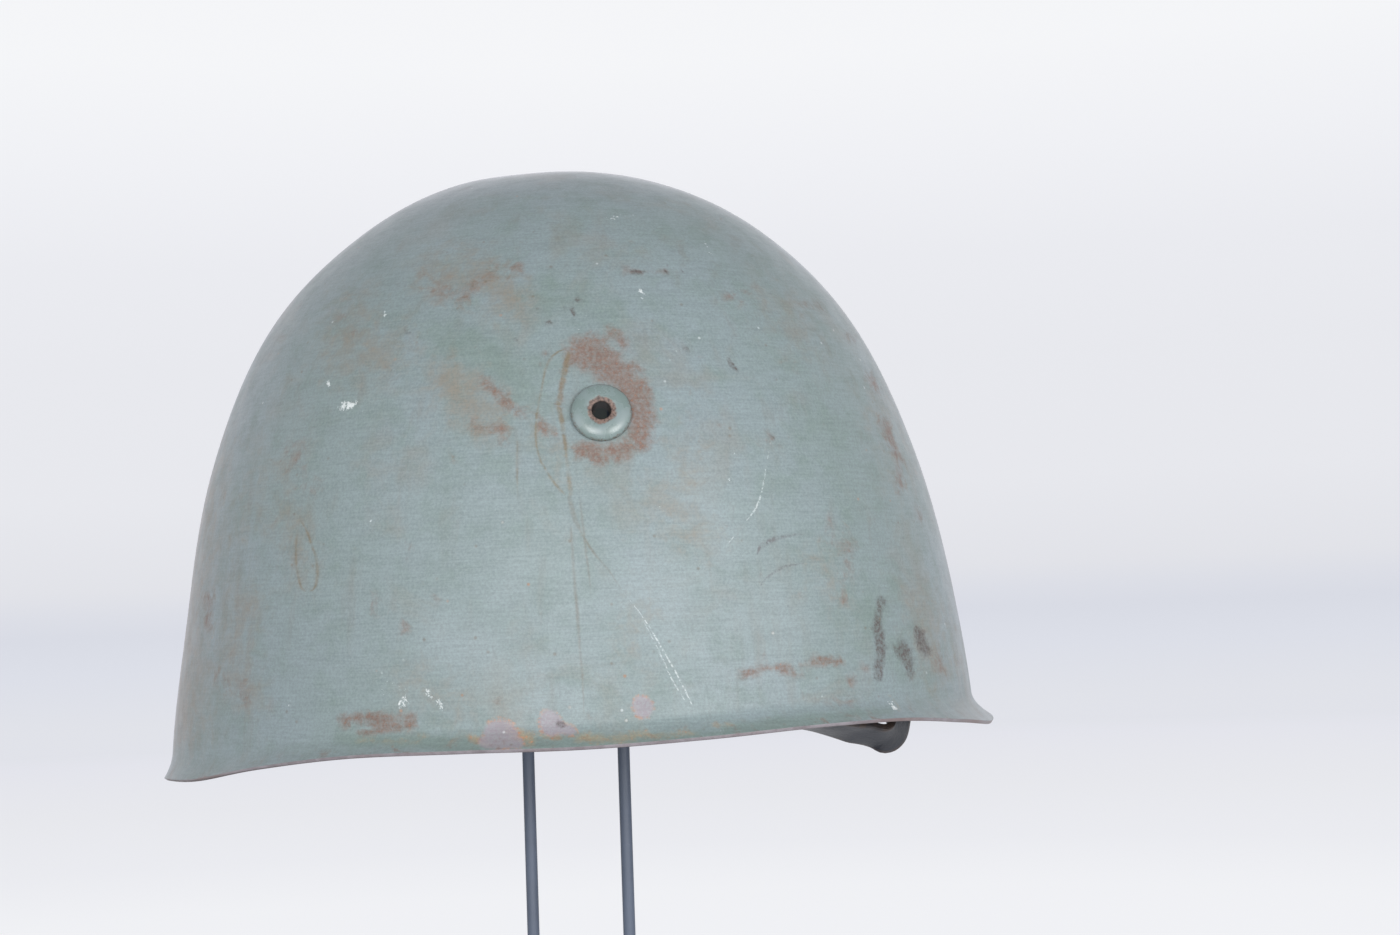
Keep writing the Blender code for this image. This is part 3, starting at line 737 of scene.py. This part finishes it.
def ventOutline():
    curvature = (shell["frontReach"] + shell["rearReach"]) / 2
    underEdge = vent["gap"] - vent["radius"] ** 2 / (2 * curvature)
    domeBase = underEdge + vent["edge"]
    lip, bore, tube, proud = vent["lip"], vent["bore"], vent["bore"] + vent["tubeWall"], vent["proud"]
    dome = []
    for k in range(vent["domeSteps"] + 1):
        angle = math.pi / 2 * k / vent["domeSteps"]
        dome.append((lip + (vent["radius"] - lip) * math.cos(angle), domeBase + (proud - domeBase) * math.sin(angle)))
    flangeTop = -(shell["wall"] + 2 * vent["sag"] + vent["gap"])
    flangeBottom = flangeTop - vent["flangeThickness"]
    turnIn = lip - bore
    roll = [(lip - turnIn * math.sin(a), proud - turnIn * (1 - math.cos(a))) for a in vent["roll"]]
    soft, edge = vent["flangeThickness"] / 3, vent["softEdge"]
    return ([(tube, vent["gap"]), (vent["radius"] - edge, underEdge), (vent["radius"], underEdge + edge)] + dome + roll
            + [(bore, proud - turnIn * 1.2), (bore, flangeBottom + soft), (bore + soft, flangeBottom),
               (vent["flange"] - soft, flangeBottom), (vent["flange"], flangeBottom + soft),
               (vent["flange"], flangeTop - soft), (vent["flange"] - soft / 2, flangeTop), (tube, flangeTop)])


def paintVent():
    material, shader, where = newMaterial("ventPaint")
    reach = attributeOf(where, "reach")
    ragged = grain(where, 520, 6, 0.65, 0.5)
    fine = grain(where, 1500, 4, 0.6)
    middling = grain(where, 160, 4, 0.6)
    colour = tint(between(middling, 0.35, 0.7), (0.118, 0.158, 0.15), (0.145, 0.184, 0.186))
    edge = jitter(ragged, 0.0026, reach)
    bare = between(edge, 0.0038, 0.0046, 1, 0)
    colour = tint(bare, colour, tint(between(fine, 0.35, 0.62), (0.05, 0.034, 0.03), (0.15, 0.1, 0.08)))
    rimWear = between(edge, 0.0083, 0.009)
    colour = tint(times(rimWear, between(fine, 0.4, 0.6, 0.1, 0.8)), colour, (0.085, 0.055, 0.042))
    # painted shade: the bore's wall near black, standing for the dark hole
    inside = between(reach, 0.0027, 0.0031, 1, 0)
    colour = tint(inside, colour, (0.012, 0.01, 0.01))
    height = calc("SUBTRACT", times(fine, 0.3), times(bare, 0.7))
    rough = calc("MULTIPLY_ADD", bare, 0.35, between(middling, 0.3, 0.7, 0.24, 0.32))
    fill(shader, {"Base Color": colour, "Roughness": rough, "Normal": bump(height, 0.0001, 0.6)})
    return material


def makeVents():
    material = paintVent()
    for name, (azimuth, rise) in ventPlaces().items():
        piece = turnOutline(ventOutline(), vent["sides"])
        recalculate(piece)
        points = readPoints(piece)
        reach = np.hypot(points[:, 0], points[:, 1])
        turn = np.arctan2(points[:, 1], points[:, 0])
        # a hand-pressed, slightly uneven lip
        lip = np.exp(-((reach - vent["lip"]) / 0.0007) ** 2) * (points[:, 2] > 0.0012)
        uneven = 0.00016 * np.sin(3 * turn + 1) + 0.0001 * np.sin(7 * turn) + 0.00006 * np.sin(13 * turn + 2)
        points[:, 2] -= lip * (0.00016 + uneven)
        writePoints(piece, points)
        writeAttribute(piece, "reach", reach)
        smooth(piece, 40)
        piece.matrix_world = surfaceMatrix(azimuth, rise)
        applyPlace(piece)
        finishPiece(piece, name + "Rivet", (material,), name)


makeVents()


# brackets and chin strap

bracket = {"wire": 0.0024, "azimuth": 84, "lift": 0.023, "gap": 0.0003}
strap = {
    "width": 0.016, "thickness": 0.0024, "tail": 0.012, "steps": 8, "across": 10,
    "ripple": 0.0003, "rippleRun": 0.019, "narrowing": 0.02, "narrowRun": 0.033, "edgeBevel": 0.0005,
    "stitch": (0.0002, 0.0008, 0.0002), "stitchStep": 0.0021, "stitchRows": (0.45, 0.8), "stitchSunk": 0.00005,
    # forward, aside and height shares, lean, skew in degrees
    "line": ((0.36, -0.74, 0.15, 0, 0), (0.48, -0.5, 0.138, 0.3, 0), (0.56, -0.26, 0.1, 0.7, 0),
             (0.64, -0.07, 0.07, 0.82, 0), (0.72, 0.02, 0.052, 0.74, 4), (0.777, 0.06, 0.044, 0.74, 12),
             (0.797, 0.09, 0.062, 0.9, 16), (0.797, 0.14, 0.102, 1, 14), (0.785, 0.25, 0.142, 0.75, 6),
             (0.71, 0.44, 0.158, 0.35, 0), (0.54, 0.63, 0.16, 0.1, 0), (0.35, 0.75, 0.155, 0, 0)),
}


def bracketFrame(side):
    azimuth = side * math.radians(bracket["azimuth"])
    rise = float(riseAt(np.array(azimuth), rimHeight(np.array(azimuth)) + bracket["lift"]))
    normal = Vector(crownNormal(azimuth, rise))
    forward = Vector((0, 0, 1)).cross(normal).normalized() * -side
    upward = forward.cross(normal).normalized() * side
    return Vector(crownPoint(azimuth, rise)) - normal * shell["wall"], forward, -normal, upward


def barDistance():
    return 2 * bracket["gap"] + vent["sag"] + bracket["wire"] * 1.5 + strap["thickness"] + 2 * bracket["gap"]


def tubeAlong(points, radius, closed, sides=6):
    """A wire of round section through given points, as a mesh."""
    piece = addShape(bpy.ops.curve.primitive_nurbs_path_add)
    piece.data.splines.clear()
    spline = piece.data.splines.new("POLY")
    spline.points.add(len(points) - 1)
    for knot, point in zip(spline.points, points):
        knot.co = (*point, 1)
    spline.use_cyclic_u = closed
    piece.data.bevel_depth, piece.data.bevel_resolution, piece.data.use_fill_caps = radius, sides, not closed
    pick(piece)
    bpy.ops.object.convert(target="MESH")
    return bpy.context.object


def paintBracket():
    material, shader, where = newMaterial("bracketSteel")
    ragged = grain(where, 700, 6, 0.65)
    colour = tint(between(ragged, 0.42, 0.6), (0.17, 0.165, 0.16), (0.16, 0.085, 0.05))
    rough = between(ragged, 0.35, 0.65, 0.38, 0.7)
    fill(shader, {"Base Color": colour, "Roughness": rough, "Normal": bump(ragged, 0.0001, 0.6), "Metallic": 0.7})
    return material


def makeBrackets():
    material = paintBracket()
    outerBar = bracket["gap"] + vent["sag"] + bracket["gap"] + bracket["wire"] / 2
    halfDepth = (barDistance() - outerBar) / 2
    halfHeight = strap["width"] / 2 + 2 * bracket["gap"] + bracket["wire"]
    for name, side in (("bracket_right", -1), ("bracket_left", 1)):
        foot, _, inward, upward = bracketFrame(side)
        middle = foot + inward * (outerBar + halfDepth)
        loop = []
        for quarter, (a, b) in enumerate(((1, 1), (-1, 1), (-1, -1), (1, -1))):
            for k in range(7):
                angle = math.pi / 2 * (quarter + k / 6)
                loop.append(middle + inward * (a * (halfDepth - bracket["wire"]) + bracket["wire"] * math.cos(angle))
                            + upward * (b * (halfHeight - bracket["wire"]) + bracket["wire"] * math.sin(angle)))
        loop = [Vector(toPart(np.array(point))) for point in loop]
        piece = tubeAlong(loop, bracket["wire"] / 2, True, 6)
        recalculate(piece)
        smooth(piece, 60)
        finishPiece(piece, name + "Loop", (material,), name)


def strapEnd(side):
    foot, forward, inward, upward = bracketFrame(side)
    bar = foot + inward * barDistance()
    turn = bracket["wire"] / 2 + bracket["gap"] + strap["thickness"] / 2
    apart = strap["thickness"] + bracket["gap"]
    line = [bar + forward * strap["tail"] * share + inward * (turn - apart) for share in (1, 0.55)]
    for k in range(13):
        angle = math.pi * k / 12
        line.append(bar - forward * turn * math.sin(angle) - inward * turn * math.cos(angle))
    line.append(bar + forward * strap["tail"] * 0.55 + inward * turn)
    line.append(bar + forward * (strap["tail"] + strap["thickness"]) + inward * turn)
    return line, upward


def splineThrough(points, steps):
    spans = zip(points, points[1:], points[2:], points[3:])
    return [easeThrough(k / steps, *span) for span in spans for k in range(steps)]


def strapStations():
    right, widthRight = strapEnd(-1)
    left, widthLeft = strapEnd(1)
    left.reverse()
    points, widths = [], []
    for forward, aside, height, lean, skew in strap["line"]:
        points.append(Vector((forward * shell["frontReach"], aside * shell["halfWidth"],
                              height * shell["crownHeight"])))
        turned, tipped = math.radians(skew), lean * math.pi / 2
        level = Vector((-math.sin(turned), -math.cos(turned), 0))
        widths.append(Vector((0, 0, 1)) * math.cos(tipped) + level * math.sin(tipped))
    hang = splineThrough(right[-2:] + points + left[:2], strap["steps"])
    sweep = splineThrough([widthRight] * 2 + widths + [widthLeft] * 2, strap["steps"])
    return right[:-1] + hang + left, [widthRight] * (len(right) - 1) + sweep + [widthLeft] * len(left)


def paintLeather():
    material, shader, where = newMaterial("strapLeather")
    lane = attributeOf(where, "lane")
    pores = addNode(where, "TexVoronoi", {"Vector": where, "Scale": 1500.0}, feature="SMOOTH_F1").outputs["Distance"]
    creases = grain(where, 260, 6, 0.62, 0.6)
    large = grain(where, 45, 4, 0.6)
    colour = tint(between(large), (0.007, 0.009, 0.015), (0.015, 0.018, 0.027))
    colour = wash(colour, between(creases, 0.55, 0.7), 0.5, (0.028, 0.023, 0.022))
    worn = times(between(lane, 0.72, 0.97), between(creases, 0.35, 0.6, 0.35, 1))
    colour = tint(worn, colour, (0.04, 0.026, 0.02))
    height = calc("ADD", times(pores, 0.5), times(creases, 0.8))
    rough = between(large, 0.3, 0.7, 0.34, 0.55)
    fill(shader, {"Base Color": colour, "Roughness": rough, "Normal": bump(height, 0.00025, 0.7)})
    return material


def paintThread():
    material, shader, where = newMaterial("strapThread")
    colour = tint(between(grain(where, 900), 0.35, 0.65), (0.18, 0.16, 0.13), (0.1, 0.08, 0.06))
    fill(shader, {"Base Color": colour, "Roughness": 0.8})
    return material


def makeStrap():
    line, widths = strapStations()
    across = strap["across"]
    piece = addShape(bpy.ops.mesh.primitive_grid_add, x_subdivisions=len(line) - 1, y_subdivisions=across, size=1)
    flat = readPoints(piece)
    column = np.rint((flat[:, 0] + 0.5) * (len(line) - 1)).astype(int)
    lane = flat[:, 1] * 2
    points = np.array([list(point) for point in line])
    ahead = np.roll(points, -1, 0) - np.roll(points, 1, 0)
    ahead[0], ahead[-1] = points[1] - points[0], points[-1] - points[-2]
    ahead = unit(ahead)
    wide = np.array([list(width) for width in widths])
    wide = unit(wide - ahead * np.einsum("ij,ij->i", wide, ahead)[:, None])
    through = np.cross(ahead, wide)
    run = np.concatenate(([0], np.cumsum(np.linalg.norm(np.diff(points, axis=0), axis=1))))
    free = np.clip(np.minimum(run, run[-1] - run) / 0.04 - 0.6, 0, 1)
    ripple = strap["ripple"] * np.sin(run / strap["rippleRun"]) * free
    narrow = 1 - strap["narrowing"] * (1 - np.cos(run / strap["narrowRun"])) * free
    half = strap["width"] / 2 - 0.0001
    aside = wide[column] * (lane * half * narrow[column])[:, None]
    writePoints(piece, toPart(points[column] + aside + through[column] * (ripple[column] * (1 - lane ** 2))[:, None]))
    writeAttribute(piece, "lane", np.abs(lane))
    applyModifier(piece, "SOLIDIFY", thickness=strap["thickness"], offset=0)
    bevel(piece, strap["edgeBevel"], 3)
    recalculate(piece)
    smooth(piece, 50)
    material = paintLeather()
    finishPiece(piece, "chinStrap", (material,), "chin_strap")

    stitches = []
    for side in (-1, 1):
        foot, forward, inward, upward = bracketFrame(side)
        bar = foot + inward * barDistance()
        turn = bracket["wire"] / 2 + bracket["gap"] + strap["thickness"]
        axes = Matrix((forward, upward, forward.cross(upward))).transposed().to_4x4()
        for share in strap["stitchRows"]:
            for k in range(-3, 4):
                spot = bar + forward * strap["tail"] * share + inward * (turn - strap["stitchSunk"])
                spot = Vector(toPart(np.array(spot + upward * k * strap["stitchStep"])))
                stitch = addShape(bpy.ops.mesh.primitive_uv_sphere_add, segments=10, ring_count=6, radius=1)
                stitch.matrix_world = Matrix.Translation(spot) @ axes @ Matrix.Diagonal((*strap["stitch"], 1))
                applyPlace(stitch)
                stitches.append(stitch)
    thread = join(stitches)
    recalculate(thread)
    smooth(thread, 80)
    finishPiece(thread, "strapStitches", (paintThread(),), "chin_strap")


makeBrackets()
makeStrap()


# stand

stand = {
    "baseRadius": 0.08, "baseThickness": 0.006, "wire": 0.004, "spacing": 0.0327, "socketFloor": 0.0012,
    "supportRise": 66, "bendShare": 0.14, "gap": 0.0003, "bead": (0.0022, 0.003, 0.0018), "edgeBevel": 0.0003,
}


def hoopPoint(azimuth):
    rise = math.radians(stand["supportRise"])
    inset = shell["wall"] + vent["sag"] + stand["gap"] + stand["wire"] / 2
    return Vector(toPart(crownPoint(azimuth, rise) - crownNormal(azimuth, rise) * inset))


def uprightLine(x, top):
    bend = shell["crownHeight"] * stand["bendShare"]
    line = [Vector((x, 0, z)) for z in (stand["socketFloor"] + stand["gap"], 0.06, shell["rimHeight"], top.z - bend)]
    for k in range(1, 17):
        angle = math.pi / 2 * k / 16
        line.append(Vector((x + (top.x - x) * (1 - math.cos(angle)), 0, top.z - bend + bend * math.sin(angle))))
    return line


def paintStand():
    material, shader, where = newMaterial("standPaint")
    large = grain(where, 40, 4, 0.6)
    fine = grain(where, 900, 3, 0.6)
    ragged = grain(where, 230, 7, 0.68)
    colour = tint(between(large), (0.054, 0.069, 0.101), (0.072, 0.09, 0.128))
    colour = wash(colour, between(ragged, 0.64, 0.72), 0.5, (0.2, 0.2, 0.21))
    rough = between(large, 0.3, 0.7, 0.5, 0.62)
    fill(shader, {"Base Color": colour, "Roughness": rough, "Normal": bump(fine, 0.00008, 0.5)})
    return material


def makeStand():
    material = paintStand()
    parts = [tubeAlong([hoopPoint(math.tau * k / 144) for k in range(144)], stand["wire"] / 2, True, 6)]
    for side, azimuth in ((1, 0), (-1, math.pi)):
        top = hoopPoint(azimuth)
        parts.append(tubeAlong(uprightLine(side * stand["spacing"] / 2, top), stand["wire"] / 2, False, 6))
        bead = addShape(bpy.ops.mesh.primitive_uv_sphere_add, segments=32, ring_count=20, radius=1)
        middle = top - Vector((side * 0.001, 0, 0.0004))
        bead.matrix_world = Matrix.Translation(middle) @ Matrix.Diagonal((*stand["bead"], 1))
        applyPlace(bead)
        parts.append(bead)
    wire = join(parts)
    smooth(wire, 60)
    finishPiece(wire, "standWire", (material,), "stand_wire")

    thickness = stand["baseThickness"]
    base = addShape(bpy.ops.mesh.primitive_cylinder_add, vertices=160, radius=stand["baseRadius"], depth=thickness,
                    location=(0, 0, thickness / 2))
    applyPlace(base)
    for side in (1, -1):
        middle = (side * stand["spacing"] / 2, 0, stand["socketFloor"] + thickness / 2)
        cutAway(base, addShape(bpy.ops.mesh.primitive_cylinder_add, vertices=48, depth=thickness, location=middle,
                               radius=stand["wire"] / 2 + stand["gap"]))
    bevel(base, stand["edgeBevel"], 2)
    smooth(base, 40)
    finishPiece(base, "standBase", (material,), "stand_base")


makeStand()


# floor, backdrop and light

studio = {
    "floorRadius": 3.1, "wallRadius": 3.4, "wallHeight": 2.6, "steps": 12, "paper": (0.2, 0.2, 0.2),
    "glow": 0.83, "world": (0.62, 0.63, 0.66), "worldStrength": 0.78, "exposure": 0,
    # glow over the floor, by radius, and up the wall, by height; what the ramp spans, and the floor's share of it
    "glowSpans": (3.1, 1.6), "floorShare": 0.4,
    "floorGlow": ((0, (0.885, 0.892, 0.925)), (0.67, (0.88, 0.888, 0.918)), (1, (0.831, 0.839, 0.88)),
                  (1.6, (0.8, 0.807, 0.847)), (2.7, (0.76, 0.768, 0.831))),
    "wallGlow": ((0.04, (0.731, 0.745, 0.8)), (0.126, (0.686, 0.709, 0.785)), (0.19, (0.652, 0.674, 0.75)),
                 (0.225, (0.68, 0.697, 0.764)), (0.27, (0.728, 0.736, 0.78)), (0.42, (0.775, 0.783, 0.823)),
                 (0.65, (0.783, 0.791, 0.831)), (0.83, (0.807, 0.815, 0.855)), (1.01, (0.863, 0.871, 0.904)),
                 (1.2, (0.913, 0.921, 0.939)), (1.6, (0.921, 0.921, 0.939))),
    # azimuth from the camera's side, distance, height, size, power
    "lamps": ((-11, 1.25, 0.26, 0.5, 2), (27, 1.25, 0.26, 0.5, 2.1), (-44, 1.25, 0.41, 0.8, 0.74),
              (50, 1.25, 0.41, 0.8, 0.66)),
    "spread": 90, "aimHeight": 0.2,
}


def makeStudio():
    outline = [(0.001, 0), (0.4, 0), (studio["floorRadius"], 0)]
    span = studio["wallRadius"] - studio["floorRadius"]
    for k in range(1, studio["steps"] + 1):
        angle = math.pi / 2 * k / studio["steps"]
        outline.append((studio["floorRadius"] + span * math.sin(angle), span * (1 - math.cos(angle))))
    outline.append((studio["wallRadius"], studio["wallHeight"]))
    floor = addShape(bpy.ops.mesh.primitive_circle_add, vertices=128, radius=outline[0][0])
    startEdit()
    extrudeRings(outline)
    bpy.ops.mesh.normals_make_consistent(inside=True)
    endEdit()
    smooth(floor, 60)
    floor.name = "studioFloor"
    material, shader, where = newMaterial("studioPaper")
    axes = addNode(where, "SeparateXYZ", {"Vector": where})
    across = addNode(where, "VectorMath", {0: stretched(where, (1, 1, 0))}, operation="LENGTH").outputs["Value"]
    (floorSpan, wallSpan), floorShare = studio["glowSpans"], studio["floorShare"]
    share = calc("ADD", between(across, 0, floorSpan, 0, floorShare, kind="LINEAR"),
                 between(axes.outputs[2], 0, wallSpan, 0, 1 - floorShare, kind="LINEAR"))
    ramp = addNode(where, "ValToRGB", {"Fac": share})
    stops = [(radius / floorSpan * floorShare, colour) for radius, colour in studio["floorGlow"]]
    stops += [(floorShare + height / wallSpan * (1 - floorShare), colour) for height, colour in studio["wallGlow"]]
    while len(ramp.color_ramp.elements) < len(stops):
        ramp.color_ramp.elements.new(0.5)
    for place, (position, colour) in enumerate(stops):
        ramp.color_ramp.elements[place].position = position
        ramp.color_ramp.elements[place].color = (*colour, 1)
    fill(shader, {"Base Color": studio["paper"], "Roughness": 1, "Specular IOR Level": 0,
                  "Emission Color": ramp.outputs[0], "Emission Strength": studio["glow"]})
    floor.data.materials.append(material)

    world = bpy.data.worlds.new("studioAir")
    world.use_nodes = True
    fill(world.node_tree.nodes["Background"], {"Color": studio["world"], "Strength": studio["worldStrength"]})
    bpy.context.scene.world = world
    for azimuth, distance, height, size, power in studio["lamps"]:
        turned = math.radians(camera["turn"] + azimuth)
        bpy.ops.object.light_add(type="AREA")
        lamp = bpy.context.object
        spot = Vector((math.sin(turned) * distance, -math.cos(turned) * distance, height))
        aim = Vector((0, 0, studio["aimHeight"])) - spot
        lamp.matrix_world = Matrix.Translation(spot) @ aim.to_track_quat("-Z", "Y").to_matrix().to_4x4()
        lamp.data.shape, lamp.data.size, lamp.data.energy = "SQUARE", size, power
        lamp.data.spread = math.radians(studio["spread"])
        lamp.visible_camera = False
    scene = bpy.context.scene
    scene.view_settings.view_transform = "Standard"
    scene.view_settings.look = "None"
    scene.view_settings.exposure = studio["exposure"]


makeStudio()
print("studio lit")

bpy.context.view_layer.update()
